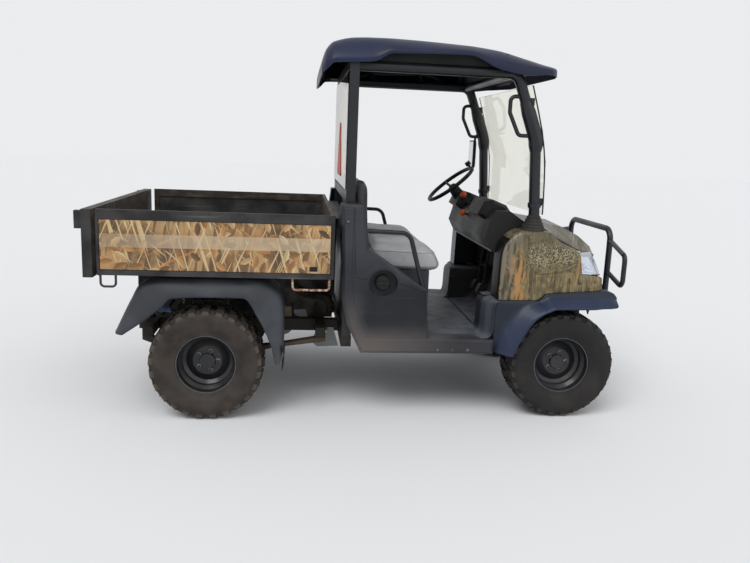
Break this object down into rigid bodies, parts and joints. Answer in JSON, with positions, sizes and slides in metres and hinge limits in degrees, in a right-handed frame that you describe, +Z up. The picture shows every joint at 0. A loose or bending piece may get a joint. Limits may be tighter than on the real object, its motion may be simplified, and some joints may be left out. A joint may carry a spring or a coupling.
{
  "type": "side by side utility vehicle",
  "caption": "Open two-seat utility vehicle with a tipping cargo bed, roof canopy, windshield, front guard and lugged tyres.",
  "frame": {"origin": "on the ground under the centre of the vehicle's bounding box", "axes": "+X to the front, +Y to the vehicle's left, +Z up"},
  "size_m": [3.005, 1.504, 2.06],
  "materials": {
    "frame_steel": "satin",
    "bed_steel": "worn",
    "camouflage": "printed",
    "dark_plastic": "grained",
    "roof_plastic": "satin",
    "seat_vinyl": "vinyl",
    "back_vinyl": "vinyl",
    "tyre": "dusty",
    "rim_steel": "satin",
    "clear_plastic": "clear",
    "lamp_glass": "clear",
    "black_rubber": "matt",
    "cast_metal": "dusty",
    "cylinder_steel": "polished",
    "sign_orange": "reflective"
  },
  "bodies": {
    "chassis": {"chassis_frame": "frame_steel", "hip_bars": "frame_steel", "rear_hoop": "frame_steel", "front_hoop": "frame_steel", "front_guard": "frame_steel", "rear_suspension": "frame_steel", "front_suspension": "frame_steel", "ball_mount": "frame_steel", "grab_handles": "frame_steel", "cowl": "camouflage", "side_covers": "dark_plastic", "rear_fenders": "dark_plastic", "front_fenders": "dark_plastic", "floor_pan": "dark_plastic", "seat_base": "dark_plastic", "bulkhead": "dark_plastic", "dash_panel": "dark_plastic", "steering_column": "dark_plastic", "mirror": "dark_plastic", "grille": "dark_plastic", "fuel_cap": "dark_plastic", "hand_levers": "dark_plastic", "pedals": "dark_plastic", "roof_panel": "roof_plastic", "seat_cushion": "seat_vinyl", "seat_back": "back_vinyl", "windshield": "clear_plastic", "rear_screen": "clear_plastic", "headlights": "lamp_glass", "post_boots": "black_rubber", "engine_block": "cast_metal", "muffler": "cast_metal", "slow_sign": "sign_orange"},
    "bed": {"bed_floor": "bed_steel", "bed_front_wall": "bed_steel", "bed_sides": "bed_steel", "tie_hooks": "bed_steel"},
    "tailgate_body": {"tailgate": "bed_steel"},
    "hood_body": {"hood": "camouflage"},
    "steering_wheel_body": {"steering_wheel": "dark_plastic"},
    "knuckle_left_body": {"knuckle_left": "frame_steel"},
    "knuckle_right_body": {"knuckle_right": "frame_steel"},
    "wheel_front_left": {"tyre_front_left": "tyre", "rim_front_left": "rim_steel"},
    "wheel_front_right": {"tyre_front_right": "tyre", "rim_front_right": "rim_steel"},
    "wheel_rear_left": {"tyre_rear_left": "tyre", "rim_rear_left": "rim_steel"},
    "wheel_rear_right": {"tyre_rear_right": "tyre", "rim_rear_right": "rim_steel"},
    "lift_barrel_body": {"lift_barrel": "cylinder_steel"},
    "lift_rod_body": {"lift_rod": "cylinder_steel"}
  },
  "joints": [
    {"name": "bed_tip", "type": "hinge", "parent": "chassis", "child": "bed", "pos_m": [-1.283, 0, 0.762], "axis": [0, -1, 0], "range_deg": [0, 45]},
    {"name": "tailgate_fold", "type": "hinge", "parent": "bed", "child": "tailgate_body", "pos_m": [-1.404, 0, 0.783], "axis": [0, -1, 0], "range_deg": [0, 90]},
    {"name": "hood_lift", "type": "hinge", "parent": "chassis", "child": "hood_body", "pos_m": [0.925, 0, 1.081], "axis": [0, -1, 0], "range_deg": [0, 55]},
    {"name": "steer_left", "type": "hinge", "parent": "chassis", "child": "knuckle_left_body", "pos_m": [1.107, 0.47, 0.195], "axis": [0, -0.1789, 0.9839], "range_deg": [-30, 30]},
    {"name": "steer_right", "type": "hinge", "parent": "chassis", "child": "knuckle_right_body", "pos_m": [1.107, -0.47, 0.195], "axis": [0, 0.1789, 0.9839], "range_deg": [-30, 30]},
    {"name": "steering_wheel_turn", "type": "hinge", "parent": "chassis", "child": "steering_wheel_body", "pos_m": [0.623, 0.33, 1.25], "axis": [-0.6293, 0, 0.7771], "range_deg": [-490, 490]},
    {"name": "spin_front_left", "type": "hinge", "parent": "knuckle_left_body", "child": "wheel_front_left", "pos_m": [1.107, 0.57, 0.306], "axis": [0, 1, 0], "continuous": true},
    {"name": "spin_front_right", "type": "hinge", "parent": "knuckle_right_body", "child": "wheel_front_right", "pos_m": [1.107, -0.57, 0.306], "axis": [0, 1, 0], "continuous": true},
    {"name": "spin_rear_left", "type": "hinge", "parent": "chassis", "child": "wheel_rear_left", "pos_m": [-0.863, 0.608, 0.306], "axis": [0, 1, 0], "continuous": true},
    {"name": "spin_rear_right", "type": "hinge", "parent": "chassis", "child": "wheel_rear_right", "pos_m": [-0.863, -0.608, 0.306], "axis": [0, 1, 0], "continuous": true},
    {"name": "lift_swing", "type": "hinge", "parent": "chassis", "child": "lift_barrel_body", "pos_m": [-1.08, 0, 0.46], "axis": [0, -1, 0], "range_deg": [0, 24.48]},
    {"name": "lift_stroke", "type": "slide", "parent": "lift_barrel_body", "child": "lift_rod_body", "axis": [0.5408, 0, 0.8412], "range_m": [0, 0.2353]}
  ],
  "couplings": [
    {"joint": "steer_right", "follows": "steer_left", "ratio": 1},
    {"joint": "steering_wheel_turn", "follows": "steer_left", "ratio": 16},
    {"joint": "lift_swing", "follows": "bed_tip", "ratio": 0.54373},
    {"joint": "lift_stroke", "follows": "bed_tip", "m_per_rad": 0.29948}
  ]
}
